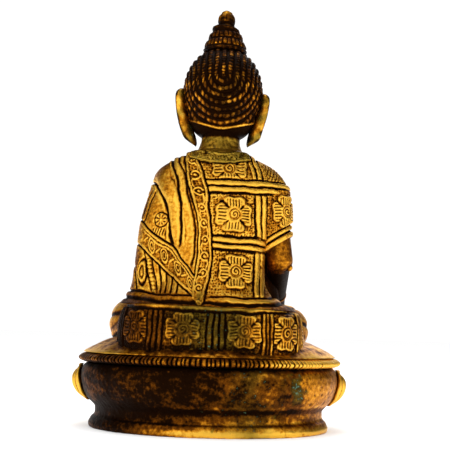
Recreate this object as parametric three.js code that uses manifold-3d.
// A seated Buddha on an oval lotus pedestal: a small brass statue cast in sections that are held
// together by tangs, cross pins and pegs, with a rod and paper rolls closed inside by a copper plate.
// Millimetres, +Z up. The figure faces -Y and its left is +X. The origin is under the middle of the
// statue's box.
import * as THREE from "three";
import { mergeVertices } from "three/addons/utils/BufferGeometryUtils.js";
import Module from "manifold-3d";

const wasm = await Module();
wasm.setup();

// Driving dimensions. A wide value is a half-width along X, a deep one a half-depth along Y.
const GAP = 0.3; // between pieces that touch
const WALL = 2.2; // of the pedestal and the moon disc
const OVAL = 0.78; // depth over width of everything in the pedestal

const FOOT = { wide: 41.8, top: 3.4, ledge: 1.9 };
const WAIST = { wide: 39.8, low: 4.6, high: 7.2 };
const DRUM = { wide: 45.2, low: 8.6, middle: 17, top: 22, neck: 43.2 };
const RIM = { wide: 46.2, bore: 37.5, low: DRUM.top + GAP, edge: 24.4, top: 25.4 };
const DISC = { wide: 44.5, edge: RIM.top + GAP, rise: 7.6, power: 4 };
const PLATE = { wide: 39.2, low: 0.8, thick: 0.8 };

const PETAL = { count: 9, wide: 6.9, low: 8.9, high: 21.6, thick: 0.9, bulge: 1.9, curl: 1.1, steps: 5 };
const SMALL_PETAL = { count: 8, wide: 4, low: 14, high: 21.9, thick: 0.7, bulge: 0.4, curl: 0.3, steps: 3 };
const PETAL_STEP = THREE.MathUtils.degToRad(22.6);

const LIFE_STICK = { y: 7.5, low: 2, high: 83, base: 4.4, tip: 1.8, hole: 10 };
const SCROLL = { count: 6, radius: 3.6, long: 15, orbit: 19 };

const SEAT_JOINT = 42; // height where the torso stands on the legs
const NECK_JOINT = 97; // height where the head stands on the torso
const TANG = { x: 25, y: 8, wide: 6, deep: 2.4, low: 25.4, high: 36 };
const TANG_PIN = { z: 27.8, radius: 0.8, long: 9 };
const HIP = { x: 15, y: 8, z: 34.2 };
const KNEE = { left: 28, right: -26.2, y: -6.6, z: 35, radius: 9 };
// Shins, soles and the fan of pleats, by the ends of a limb or the middle of a ball. Angles in radians.
const SHIN = { knee: 6.8, ankle: 4.4 }; // radii
const RIGHT_SHIN = { knee: [-25, -12, 34], ankle: [8, -20.5, 36.2] };
const LEFT_SHIN = { knee: [25, -12, 33], ankle: [-9, -20.5, 31.6] };
const RIGHT_SOLE = { middle: [14.5, -14.5, 41.2], radii: [8.6, 3.9, 2.4], tip: 0.25, turn: 0.35 };
const LEFT_SOLE = { middle: [-14, -14.5, 40.6], radii: [8.2, 3.7, 2.4], tip: 0.25, turn: -0.35 };
const FAN = { middle: [0, -24, 30.5], radii: [9.5, 6, 4.6] };

const DRAPE = { top: [-16.6, -1, 62], end: [-19.4, -3, 45.5], topRadius: 4, endRadius: 4.6 };
const ELBOW = [-22.9, 7.6, 58.6];
const WRIST = [-22.2, -14, 47];
const FOREARM = { elbow: 4.3, wrist: 3.1, sleeve: 5 }; // radii
const RIGHT_PALM = { x: -24.4, y: -20.4, z: 43.2, radii: [4, 2.3, 2.5], heel: 3, knuckles: 2.6 };
const FINGER_STEP = 1.9; // between the middles of neighbouring fingers
const ARM_PEG = { top: [-20.4, 7.2, 74], radius: 2.8 };
const SLEEVE = { top: [-18.6, 6.8, 83], end: [-21.6, 7.6, 60], topRadius: 7.4, endRadius: 6.2 };
const HEM = { x: -22, y: 7.5, z: 65, nx: 0.54, nz: 0.84 }; // a plane, by a point and its normal
const LEFT_SLEEVE = { top: [20.5, 4.5, 55], end: [11, -9.5, 48.6], topRadius: 7, endRadius: 4.8 };
const LEFT_WRIST = { inside: [12.6, -7.6, 49.4], end: [5.4, -14.4, 44.9], radius: 2.2 };
const PALM = [0.2, -15.4, 43.7];
const BOWL = { x: -1, y: -15.4, z: 45.6, radius: 5.8, mouth: 5, high: 7, foot: 2.8, wall: 0.9 };
const NECK = { y: 6.2, radius: 7.2, mouth: NECK_JOINT + GAP, top: 110 };
const TENON = { radius: 4.4, low: 87, top: 104 };
const NECK_PIN = { x: 2.4, z: 94.6, back: 15.2, radius: 0.7, long: 11 };
const SKULL = { y: 5.5, z: 119.5, wide: 14.1, deep: 14.8, high: 15.8, crown: 133.2 };
const JAW = { middle: [0, 2.6, 110.4], radii: [10.6, 11, 8.6] };
const NOSE = { bridge: [0, -8.6, 119], tip: [0, -10.4, 114], bridgeRadius: 0.9, tipRadius: 1.6 };
const EAR = { y: 5.6, low: 99.6, high: 119.6, thick: 4.2, flare: 0.25 }; // flare of the rear edge
const EAR_PEG = { x: 13, z: 115.5, radius: 0.8, long: 5 };
const TOPKNOT = { wide: 7.7, high: 140.8, neck: 4.6, plate: 5.1, top: 142.4, peg: 3, pegLow: 129.4 };
const JEWEL = { neck: 2.7, bulb: 3.35, bulbZ: 145.2, top: 149.3, peg: 1.5, pegLow: 137.5 };

// The figure leans a little to its right on its level pedestal, about a line at this height.
const LEAN = { degrees: 1.3, z: 28 };

// The back of the rim and the front petals are the statue's furthest points, so this centres its box on Y.
const FRONT = DRUM.wide * OVAL + GAP + PETAL.thick + PETAL.bulge;
const CENTRE_Y = (FRONT - RIM.wide * OVAL) / 2;

const { sin, cos, hypot, atan2, abs, PI } = Math;
const { lerp, mapLinear, clamp } = THREE.MathUtils;
const UPRIGHT = PI / 2; // turns a three.js solid of revolution from +Y up to +Z up

// ---- Geometry helpers

// A closed geometry as a manifold solid.
function solid(geometry) {
  const bare = new THREE.BufferGeometry().setAttribute("position", geometry.getAttribute("position"));
  if (geometry.index) bare.setIndex(geometry.index);
  const merged = mergeVertices(bare, 1e-4);
  const triVerts = new Uint32Array(merged.index.array);
  const vertProperties = merged.getAttribute("position").array;
  return new wasm.Manifold(new wasm.Mesh({ numProp: 3, vertProperties, triVerts }));
}

// A manifold solid as a three.js geometry.
function geometryOf(made) {
  const { vertProperties, triVerts } = made.getMesh();
  return new THREE.BufferGeometry()
    .setAttribute("position", new THREE.BufferAttribute(new Float32Array(vertProperties), 3))
    .setIndex(new THREE.BufferAttribute(new Uint32Array(triVerts), 1));
}

function union(...solids) {
  return solids.reduce((all, one) => all.add(one));
}

function leaning(made) {
  return made.translate(0, 0, -LEAN.z).rotate(0, -LEAN.degrees, 0).translate(0, 0, LEAN.z);
}

// A smooth curve through knots of [position, value], flat beyond the first and the last.
function through(knots) {
  const last = knots.length - 1;
  const slopes = knots.map((_, i) => {
    const before = knots[Math.max(i - 1, 0)];
    const after = knots[Math.min(i + 1, last)];
    return (after[1] - before[1]) / (after[0] - before[0]);
  });
  return (position) => {
    if (position <= knots[0][0]) return knots[0][1];
    if (position >= knots[last][0]) return knots[last][1];
    const i = knots.findIndex((knot) => knot[0] > position) - 1;
    const span = knots[i + 1][0] - knots[i][0];
    const t = (position - knots[i][0]) / span;
    const fromStart = knots[i][1] * (1 + 2 * t) + slopes[i] * span * t;
    const fromEnd = knots[i + 1][1] * (3 - 2 * t) + slopes[i + 1] * span * (t - 1);
    return fromStart * (1 - t) ** 2 + fromEnd * t ** 2;
  };
}

// Moves each vertex of a geometry to where move(x, y, z) says.
function warp(geometry, move) {
  const position = geometry.getAttribute("position");
  for (let i = 0; i < position.count; i++)
    position.setXYZ(i, ...move(position.getX(i), position.getY(i), position.getZ(i)));
  return geometry;
}

// A closed body between two heights. wall(angle, z) is its radius round the axis x = 0, y = axis(z).
function stacked(low, high, around, levels, wall, axis) {
  const drum = new THREE.CylinderGeometry(1, 1, 1, around, levels).rotateX(UPRIGHT);
  return solid(
    warp(drum, (x, y, share) => {
      const z = lerp(low, high, share + 0.5);
      const angle = atan2(y, x);
      const radius = hypot(x, y) * wall(angle, z);
      return [radius * cos(angle), axis(z) + radius * sin(angle), z];
    }),
  );
}

// A closed profile of [radius, height] points turned round +Z, then squeezed along Y by share.
function turned(points, around, share = 1) {
  const profile = points.map(([radius, height]) => new THREE.Vector2(radius, height));
  return solid(new THREE.LatheGeometry(profile, around).rotateX(UPRIGHT).scale(1, share, 1));
}

// A limb with round ends that tapers from one radius to another between two points.
function limb(from, to, startRadius, endRadius, around = 12) {
  const [start, end] = [new THREE.Vector3(...from), new THREE.Vector3(...to)];
  const half = start.distanceTo(end) / 2;
  const capsule = new THREE.CapsuleGeometry(1, 2 * half, around > 8 ? 3 : 2, around, 1);
  warp(capsule, (x, y, z) => {
    const along = clamp(y, -half, half);
    const radius = mapLinear(along, -half, half, startRadius, endRadius);
    return [x * radius, along + (y - along) * radius, z * radius];
  });
  const way = end.clone().sub(start).normalize();
  capsule.applyQuaternion(new THREE.Quaternion().setFromUnitVectors(new THREE.Vector3(0, 1, 0), way));
  return solid(capsule.translate(...start.add(end).multiplyScalar(0.5).toArray()));
}

// An oval ball, turned about X and then about Z.
function ball(centre, radii, aboutX = 0, aboutZ = 0) {
  const sphere = new THREE.SphereGeometry(1, 14, 9).scale(...radii);
  return solid(sphere.rotateX(aboutX).rotateZ(aboutZ).translate(...centre));
}

function box(centre, size) {
  return solid(new THREE.BoxGeometry(...size).translate(...centre));
}

// Round stock along +Y.
function pin(x, y, z, radius, length) {
  return solid(new THREE.CylinderGeometry(radius, radius, length, 12).translate(x, y, z));
}

// Round stock along +Z between two heights.
function post(x, y, low, high, radius, around = 24) {
  const stock = new THREE.CylinderGeometry(radius, radius, high - low, around).rotateX(UPRIGHT);
  return solid(stock.translate(x, y, (low + high) / 2));
}

// Distance from the axis to the far side of an oval that holds the axis.
function ovalReach(angle, x, y, wide, deep) {
  const [c, s] = [cos(angle), sin(angle)];
  const a = (c / wide) ** 2 + (s / deep) ** 2;
  const b = (c * x) / wide ** 2 + (s * y) / deep ** 2;
  const rest = (x / wide) ** 2 + (y / deep) ** 2 - 1;
  return (b + Math.sqrt(b * b - a * rest)) / a;
}

// Radius of an oval with squared shoulders: power 2 is a plain oval, more is squarer.
function squaredOval(angle, wide, deep, power) {
  return (abs(cos(angle) / wide) ** power + abs(sin(angle) / deep) ** power) ** (-1 / power);
}

// ---- Pedestal

// The drum's half-width at a height: a bulge between the waist and the neck below the rim.
const drumWide = through([
  [DRUM.low, WAIST.wide + 1.4],
  [11.5, 43.6],
  [DRUM.middle, DRUM.wide],
  [20.4, 44.6],
  [DRUM.top, DRUM.neck],
]);

function pedestalShell() {
  const drum = [9, 10.4, 12.2, 14.6, 17, 19.2, 20.8, DRUM.top].map((z) => [drumWide(z), z]);
  const outside = [
    [FOOT.wide, 0],
    [FOOT.wide + 0.2, 1.5],
    [FOOT.wide - 0.7, FOOT.top],
    [WAIST.wide, WAIST.low],
    [WAIST.wide, WAIST.high],
    ...drum,
  ];
  const inside = [
    [DRUM.neck - WALL, DRUM.top],
    [DRUM.wide - WALL, DRUM.middle],
    [WAIST.wide - WALL, WAIST.high],
    [WAIST.wide - WALL, FOOT.ledge],
  ];
  const rebate = [
    [PLATE.wide + GAP, FOOT.ledge],
    [PLATE.wide + GAP, 0],
  ];
  return turned([rebate[1], ...outside, ...inside, ...rebate], 48, OVAL);
}

function beadedRim() {
  const corner = [RIM.bore, RIM.low];
  const edge = [
    [RIM.wide - 1.8, RIM.low],
    [RIM.wide - 0.5, 23],
    [RIM.wide, RIM.edge],
    [RIM.wide - 1.2, RIM.top],
  ];
  return turned([corner, ...edge, [RIM.bore, RIM.top], corner], 48, OVAL);
}

// The moon disc's upper face as [half-width, height] points from the middle out, raised by grow.
function discFace(wide, grow) {
  const shares = [0, 0.3, 0.52, 0.68, 0.8, 0.9, 1];
  return shares.map((share) => [share * wide, DISC.edge + grow + DISC.rise * (1 - share ** DISC.power)]);
}

function moonDisc() {
  const upper = discFace(DISC.wide, 0);
  const under = discFace(DISC.wide - WALL, -WALL).slice(0, -1);
  const shell = turned([...under, [DISC.wide - WALL, DISC.edge], ...upper.reverse()], 48, OVAL);
  const slots = [-1, 1].map((side) =>
    box([side * TANG.x, TANG.y, DISC.edge], [TANG.wide + 2 * GAP, TANG.deep + 2 * GAP, 30]),
  );
  const rodHole = box([0, LIFE_STICK.y, DISC.edge], [LIFE_STICK.hole, LIFE_STICK.hole, 30]);
  return shell.subtract(union(...slots, rodHole));
}

// Everything below the moon disc's upper face, with clearance.
function underDisc() {
  const beyond = 60;
  const face = [...discFace(DISC.wide, GAP), [beyond, DISC.edge + GAP]];
  return turned([[0, 0], [beyond, 0], ...face.reverse()], 48, OVAL);
}

// A leaf's half-width at a share of its height, as a share of its widest.
const leafHalf = through([
  [0, 0.62],
  [0.2, 0.86],
  [0.5, 1],
  [0.78, 0.78],
  [0.93, 0.4],
  [1, 0.12],
]);

// A petal hugs the drum: a thin box bent round it, narrow at the tip and crowned in the middle.
function petal(shape, turn) {
  const leaf = new THREE.BoxGeometry(2, 1, 1, shape.steps, 1, shape.steps);
  return solid(
    warp(leaf, (across, out, up) => {
      const share = up + 0.5;
      const z = lerp(shape.low, shape.high, share);
      const angle = turn - (across * leafHalf(share) * shape.wide) / DRUM.wide;
      const crown = shape.bulge * (1 - across ** 2) * sin(PI * Math.min(1.12 * share, 1)) ** 0.7;
      const proud = GAP + shape.curl * share ** 3 + (out < 0 ? 0 : shape.thick + crown);
      const wide = drumWide(z);
      return [(wide + proud) * cos(angle), (wide * OVAL + proud) * sin(angle), z];
    }),
  );
}

// Petals of one kind, spread evenly about the front.
function petalRow(shape, name) {
  const first = -PI / 2 - ((shape.count - 1) / 2) * PETAL_STEP;
  const turns = Array.from({ length: shape.count }, (_, i) => first + i * PETAL_STEP);
  return turns.map((turn, i) => [name + (i + 1), petal(shape, turn)]);
}

function petals() {
  const front = petalRow(PETAL, "lotus_petal_");
  const behind = petalRow(SMALL_PETAL, "small_petal_");
  const grown = { ...PETAL, wide: PETAL.wide + GAP, thick: PETAL.thick + GAP };
  const clear = union(...petalRow(grown, "").map(([, made]) => made));
  return [...front, ...behind.map(([name, made]) => [name, made.subtract(clear)])];
}

function closingPlate() {
  const sheet = new THREE.CylinderGeometry(PLATE.wide, PLATE.wide, PLATE.thick, 48).rotateX(UPRIGHT);
  return solid(sheet.scale(1, OVAL, 1).translate(0, 0, PLATE.low + PLATE.thick / 2));
}

// ---- Inside

function lifeStick() {
  const long = LIFE_STICK.high - LIFE_STICK.low;
  const rod = new THREE.CylinderGeometry(LIFE_STICK.tip, LIFE_STICK.base, long, 4).rotateX(UPRIGHT);
  return solid(rod.rotateZ(PI / 4).translate(0, LIFE_STICK.y, LIFE_STICK.low + long / 2));
}

function scroll(index) {
  const angle = (2 * PI * (index + 0.5)) / SCROLL.count;
  const [x, y] = [SCROLL.orbit * cos(angle), SCROLL.orbit * sin(angle)];
  return post(x, y + CENTRE_Y, LIFE_STICK.low, LIFE_STICK.low + SCROLL.long, SCROLL.radius, 16);
}

// ---- Torso

const trunkWide = through([
  [42, 29.4],
  [43.6, 27],
  [45, 23.8],
  [47, 20.6],
  [51, 18.2],
  [58, 17.4],
  [66, 18.4],
  [78, 21],
  [84, 22],
  [88.5, 21.3],
  [91.3, 19.2],
  [94.1, 14.6],
  [97, 8.2],
]);
const trunkDeep = through([
  [42, 19.6],
  [45, 17],
  [48, 15],
  [54, 13.2],
  [62, 12.6],
  [70, 13],
  [78, 13.2],
  [84, 12.6],
  [88.5, 11.4],
  [91.3, 10.4],
  [94.1, 9.4],
  [97, 7.9],
]);
const trunkAxis = through([
  [42, 9.5],
  [48, 9.5],
  [60, 8.5],
  [78, 7.5],
  [90, 6.5],
  [97, 6.2],
]);
// How far the covered left arm and the right shoulder reach from the axis.
const leftReach = through([
  [42, 31.8],
  [43.6, 30.8],
  [45, 29.8],
  [48.5, 28.5],
  [55, 28],
  [62, 27.6],
  [71, 26.8],
  [78.7, 25],
  [84.3, 23.4],
  [88.5, 21.2],
  [92, 17.6],
  [97, 6],
]);
const rightReach = through([
  [58, 10],
  [66, 14],
  [72, 21],
  [76, 25.4],
  [79, 26.1],
  [84.3, 25.4],
  [88.5, 23.2],
  [92, 19.4],
  [94.2, 15.2],
  [97, 6],
]);
const armDeep = through([
  [42, 12],
  [45, 10],
  [50, 8.8],
  [62, 8.4],
  [84, 8.8],
  [90, 8],
  [97, 5],
]);
const ARM = { back: 4, y: -0.8 }; // its oval's run past the axis, and its middle from the axis

// The trunk is a squared oval, blended with an oval for each arm.
function trunkWall(angle, z) {
  const [square, blend] = [2.4, 20];
  const lobes = [leftReach(z), -rightReach(z)].map((reach) => {
    const half = (abs(reach) + ARM.back) / 2;
    return ovalReach(angle, Math.sign(reach) * (half - ARM.back), ARM.y, half, armDeep(z));
  });
  const radii = [squaredOval(angle, trunkWide(z), trunkDeep(z), square), ...lobes];
  return radii.reduce((sum, radius) => sum + radius ** blend, 0) ** (1 / blend);
}

function trunk(grow) {
  return stacked(SEAT_JOINT, NECK_JOINT, 40, 14, (angle, z) => trunkWall(angle, z) + grow, trunkAxis);
}

function leftSleeve(grow) {
  const { top, end, topRadius, endRadius } = LEFT_SLEEVE;
  return limb(top, end, topRadius + grow, endRadius + grow, 14);
}

// The room that the torso needs, with clearance round it and below it.
function torsoRoom() {
  const room = trunk(GAP);
  const drape = rightDrape();
  return union(room, room.translate(0, 0, -GAP), leftSleeve(GAP), drape, drape.translate(0, 0, -GAP));
}

// Everything below the plane of the right sleeve's hem, lowered by drop.
function belowHem(drop) {
  const size = 80;
  const slab = new THREE.BoxGeometry(size, size, size).translate(0, 0, -size / 2 - drop);
  return solid(slab.rotateY(atan2(HEM.nx, HEM.nz)).translate(HEM.x, HEM.y, HEM.z));
}

function armPeg(grow) {
  return limb(ELBOW, ARM_PEG.top, ARM_PEG.radius + grow, ARM_PEG.radius + grow);
}

function leftWrist(grow) {
  const { inside, end, radius } = LEFT_WRIST;
  return limb(inside, end, radius + grow, radius + grow);
}

// The drape that closes the gap between the trunk and the right forearm.
function rightDrape() {
  return limb(DRAPE.top, DRAPE.end, DRAPE.topRadius, DRAPE.endRadius, 14);
}

function rightArmRoom() {
  const lower = limb(ELBOW, WRIST, FOREARM.elbow + GAP, FOREARM.wrist + GAP);
  const upper = limb(ELBOW, ARM_PEG.top, FOREARM.elbow + GAP, FOREARM.sleeve + GAP);
  return lower.add(upper.intersect(belowHem(0)));
}

function torso() {
  const rightSleeve = limb(SLEEVE.top, SLEEVE.end, SLEEVE.topRadius, SLEEVE.endRadius, 14);
  const hollow = (_, z) => mapLinear(z, SEAT_JOINT, LIFE_STICK.high, 9.4, 4.4);
  const cavity = stacked(SEAT_JOINT - 1, LIFE_STICK.high + 1.5, 12, 2, hollow, trunkAxis);
  const socket = post(0, NECK.y, TENON.low - GAP, NECK_JOINT + 5, TENON.radius + GAP);
  const drape = rightDrape().subtract(rightArmRoom());
  return union(trunk(0), drape, rightSleeve.subtract(belowHem(0)), leftSleeve(0)).subtract(
    union(cavity, socket, neckPin(GAP), armPeg(GAP), leftWrist(GAP)),
  );
}

// The cross pin through the neck's tenon, driven in from behind.
function neckPin(grow) {
  const throughBack = grow > 0 ? 5 : 0; // a bore runs out through the back
  const long = NECK_PIN.long + grow + throughBack;
  const y = NECK_PIN.back + throughBack - long / 2;
  return pin(NECK_PIN.x, y, NECK_PIN.z, NECK_PIN.radius + grow, long);
}

// ---- Legs

const seatWide = through([
  [24, 30.8],
  [30, 31.6],
  [36, 31.4],
  [40, 30.4],
  [41.7, 29],
]);
const seatDeep = through([
  [24, 24.6],
  [30, 25],
  [36, 24.8],
  [40, 23.8],
  [41.7, 22.6],
]);
const SEAT = { y: 6.8, square: 3, low: 24 };

// The robe round the hips falls straight to the moon disc, squared at the back.
function skirt() {
  const wall = (angle, z) => squaredOval(angle, seatWide(z), seatDeep(z), SEAT.square);
  return stacked(SEAT.low, SEAT_JOINT - GAP, 40, 3, wall, () => SEAT.y);
}

function thigh(side) {
  const knee = [side > 0 ? KNEE.left : KNEE.right, KNEE.y, KNEE.z];
  return limb([side * HIP.x, HIP.y, HIP.z], knee, KNEE.radius, KNEE.radius, 14);
}

// Crossed shins, upturned feet and the pleats that fan out between the knees.
function crossedLegs() {
  const shins = [RIGHT_SHIN, LEFT_SHIN].map(({ knee, ankle }) => limb(knee, ankle, SHIN.knee, SHIN.ankle));
  const soles = [RIGHT_SOLE, LEFT_SOLE].map((sole) => ball(sole.middle, sole.radii, sole.tip, sole.turn));
  return union(...shins, ...soles, ball(FAN.middle, FAN.radii));
}

function seatedLegs() {
  const sides = [-1, 1];
  const deep = TANG.high - TANG.low;
  const tangs = sides.map((side) =>
    box([side * TANG.x, TANG.y, TANG.low + deep / 2], [TANG.wide, TANG.deep, deep]),
  );
  const bores = sides.map((side) => tangPin(side, GAP));
  const well = (angle) => ovalReach(angle, 0, 0, 17, 12);
  const cavity = stacked(SEAT.low - 1, SEAT_JOINT + 1, 20, 1, well, () => LIFE_STICK.y);
  const robed = union(skirt(), ...sides.map(thigh), crossedLegs()).subtract(union(cavity, torsoRoom()));
  return leaning(robed)
    .subtract(underDisc())
    .add(leaning(union(...tangs)))
    .subtract(leaning(union(...bores)));
}

function tangPin(side, grow = 0) {
  return pin(side * TANG.x, TANG.y, TANG_PIN.z, TANG_PIN.radius + grow, TANG_PIN.long);
}

// ---- Hands and bowl

// Four fingers side by side, each of joints from points(step), where step runs from -1.5 to 1.5.
function fingers(points, radius) {
  const joints = [-1.5, -0.5, 0.5, 1.5].map((step) => {
    const [knuckle, middle, tip] = points(step);
    return union(limb(knuckle, middle, radius, radius, 6), limb(middle, tip, radius, 0.85 * radius, 6));
  });
  return union(...joints);
}

// The bare forearm, plugged into the sleeve, and the hand that reaches down over the knee.
function rightForearm() {
  const upper = limb(ELBOW, ARM_PEG.top, FOREARM.elbow, FOREARM.sleeve, 12).intersect(belowHem(GAP));
  const lower = limb(ELBOW, WRIST, FOREARM.elbow, FOREARM.wrist, 12);
  const { x: middle, y, z, radii, heel, knuckles } = RIGHT_PALM;
  const back = limb(WRIST, [middle + 0.3, y, z + 0.4], heel, knuckles);
  const palm = back.add(ball([middle, y, z], radii));
  const thumb = limb([middle + 3.3, y + 1.8, z + 0.8], [middle + 5.3, y - 2, z - 1.6], 1.2, 1);
  const reach = (step) => {
    const x = middle + FINGER_STEP * step;
    const drop = 0.6 * abs(step + 0.3);
    return [
      [x, y - 0.6, z - 0.2],
      [x, y - 2.5, z - 4.2],
      [x, y - 1.4, z - 9.6 + drop],
    ];
  };
  return union(upper, lower, armPeg(0), palm, thumb, fingers(reach, 1.05));
}

// The left hand lies palm up in the lap, its fingers pointing to the right knee.
function leftHand() {
  const [x, y, z] = PALM;
  const palm = ball(PALM, [6, 4.6, 1.5]);
  const thumb = limb([x + 2.4, y - 3.4, z + 0.1], [x + 0.4, y - 6.8, z + 0.9], 1.1, 0.9);
  const lie = (step) => {
    const across = y + 0.2 + FINGER_STEP * step;
    const long = 8.6 - 0.7 * abs(step);
    return [
      [x - 3, across, z],
      [x - 6.4, across, z - 0.1],
      [x - 0.6 - long, across, z + 0.5],
    ];
  };
  return union(leftWrist(0), palm, thumb, fingers(lie, 1));
}

function almsBowl() {
  const { radius, mouth, high, foot, wall } = BOWL;
  const profile = [
    [0, 0],
    [foot, 0],
    [0.8 * radius, 0.15 * high],
    [0.96 * radius, 0.35 * high],
    [radius, 0.55 * high],
    [0.94 * radius, 0.82 * high],
    [mouth, high],
    [mouth - wall, high],
    [radius - wall, 0.55 * high],
    [0.75 * radius - wall, 0.25 * high],
    [0, wall],
  ];
  return turned(profile, 24).translate(BOWL.x, BOWL.y, BOWL.z);
}

// ---- Head

function head() {
  const skull = ball([0, SKULL.y, SKULL.z], [SKULL.wide, SKULL.deep, SKULL.high]);
  const jaw = ball(JAW.middle, JAW.radii);
  const nose = limb(NOSE.bridge, NOSE.tip, NOSE.bridgeRadius, NOSE.tipRadius, 8);
  const neck = post(0, NECK.y, NECK.mouth, NECK.top, NECK.radius);
  const tenon = post(0, NECK.y, TENON.low, TENON.top, TENON.radius);
  const above = box([0, SKULL.y, SKULL.crown + 10], [40, 40, 20]);
  const topknotSocket = post(0, NECK.y, TOPKNOT.pegLow - GAP, SKULL.crown + 5, TOPKNOT.peg + GAP);
  const earSeats = [-1, 1].map((side) => earSlab(side, GAP).add(earPeg(side, GAP)));
  const cuts = union(above, topknotSocket, neckPin(GAP), ...earSeats);
  return union(skull, jaw, nose, neck, tenon).subtract(cuts);
}

// The middle of an ear's thickness: it leans in below, where the long lobe hangs free of the neck.
const earMiddle = through([
  [99.6, 10.3],
  [104, 12.4],
  [109, 14.1],
  [114.5, 14.9],
  [119.6, 14.7],
]);
const earHalfDepth = through([
  [99.6, 1.2],
  [101.5, 2.3],
  [107, 2.2],
  [112.5, 3],
  [117, 3.4],
  [119.6, 1.6],
]);

function earPeg(side, grow) {
  const radius = EAR_PEG.radius + grow;
  const long = EAR_PEG.long + 2 * grow;
  const stock = new THREE.CylinderGeometry(radius, radius, long, 10).rotateZ(UPRIGHT);
  return solid(stock.translate(side * EAR_PEG.x, EAR.y, EAR_PEG.z));
}

// An ear without its peg, grown all round.
function earSlab(side, grow) {
  const slab = warp(new THREE.BoxGeometry(1, 2, 1, 1, 4, 8), (out, along, up) => {
    const z = lerp(EAR.low - grow, EAR.high + grow, up + 0.5);
    const y = along * (earHalfDepth(z) + grow);
    const x = earMiddle(z) + out * (EAR.thick + 2 * grow) + EAR.flare * y;
    return [side * x, EAR.y + y, z];
  });
  return solid(side > 0 ? slab : mirrored(slab));
}

function ear(side) {
  return earSlab(side, 0).add(earPeg(side, 0));
}

// The same triangles wound the other way, for a geometry whose points were mirrored.
function mirrored(geometry) {
  return geometry.setIndex(Array.from(geometry.index.array).reverse());
}

function ushnisha() {
  const { wide, high, neck, plate, top, peg, pegLow } = TOPKNOT;
  const seat = SKULL.crown + GAP;
  const profile = [
    [0, pegLow],
    [peg, pegLow],
    [peg, seat],
    [wide, seat],
    [wide, seat + 1.2],
    [lerp(wide, neck, 0.55), lerp(seat, high, 0.55)],
    [neck, high],
    [plate, high + 0.4],
    [plate, top],
    [JEWEL.peg + GAP, top],
    [JEWEL.peg + GAP, JEWEL.pegLow - GAP],
    [0, JEWEL.pegLow - GAP],
  ];
  return turned(profile, 30).translate(0, NECK.y, 0);
}

function jewelFinial() {
  const seat = TOPKNOT.top + GAP;
  const profile = [
    [0, JEWEL.pegLow],
    [JEWEL.peg, JEWEL.pegLow],
    [JEWEL.peg, seat],
    [JEWEL.neck + 0.3, seat],
    [JEWEL.neck, seat + 0.8],
    [JEWEL.bulb, JEWEL.bulbZ],
    [0.78 * JEWEL.bulb, 147.4],
    [0.3 * JEWEL.bulb, 148.8],
    [0, JEWEL.top],
  ];
  return turned(profile, 24).translate(0, NECK.y, 0);
}

// ---- The statue

const finishes = {
  brass: { color: 0xc8921f, roughness: 0.32, metalness: 1 },
  patina: { color: 0x6b4a14, roughness: 0.45, metalness: 1 },
  copper: { color: 0xa8623c, roughness: 0.4, metalness: 1 },
  wood: { color: 0x9a6b3c, roughness: 0.8, metalness: 0 },
  paper: { color: 0xe2d3a8, roughness: 0.9, metalness: 0 },
};

const scrolls = Array.from({ length: SCROLL.count }, (_, i) => ["mantra_scroll_" + (i + 1), scroll(i)]);
const figure = [
  ["tang_pin_left", tangPin(1), finishes.brass],
  ["tang_pin_right", tangPin(-1), finishes.brass],
  ["torso", torso(), finishes.brass],
  ["right_forearm", rightForearm(), finishes.brass],
  ["left_hand", leftHand(), finishes.brass],
  ["alms_bowl", almsBowl(), finishes.brass],
  ["head", head(), finishes.patina],
  ["left_ear", ear(1), finishes.brass],
  ["right_ear", ear(-1), finishes.brass],
  ["neck_pin", neckPin(0), finishes.brass],
  ["ushnisha", ushnisha(), finishes.patina],
  ["jewel_finial", jewelFinial(), finishes.brass],
];
const pieces = [
  ["pedestal_shell", pedestalShell(), finishes.patina],
  ["beaded_rim", beadedRim(), finishes.brass],
  ["moon_disc", moonDisc(), finishes.patina],
  ...petals().map(([name, made]) => [name, made, finishes.brass]),
  ["closing_plate", closingPlate(), finishes.copper],
  ["life_stick", lifeStick(), finishes.wood],
  ...scrolls.map(([name, made]) => [name, made, finishes.paper]),
  ["seated_legs", seatedLegs(), finishes.brass],
  ...figure.map(([name, made, finish]) => [name, leaning(made), finish]),
];

const statue = new THREE.Group();
for (const [name, made, finish] of pieces) {
  const mesh = new THREE.Mesh(geometryOf(made), new THREE.MeshStandardMaterial(finish));
  mesh.name = name;
  statue.add(mesh);
}
statue.position.y = CENTRE_Y;

export default statue;
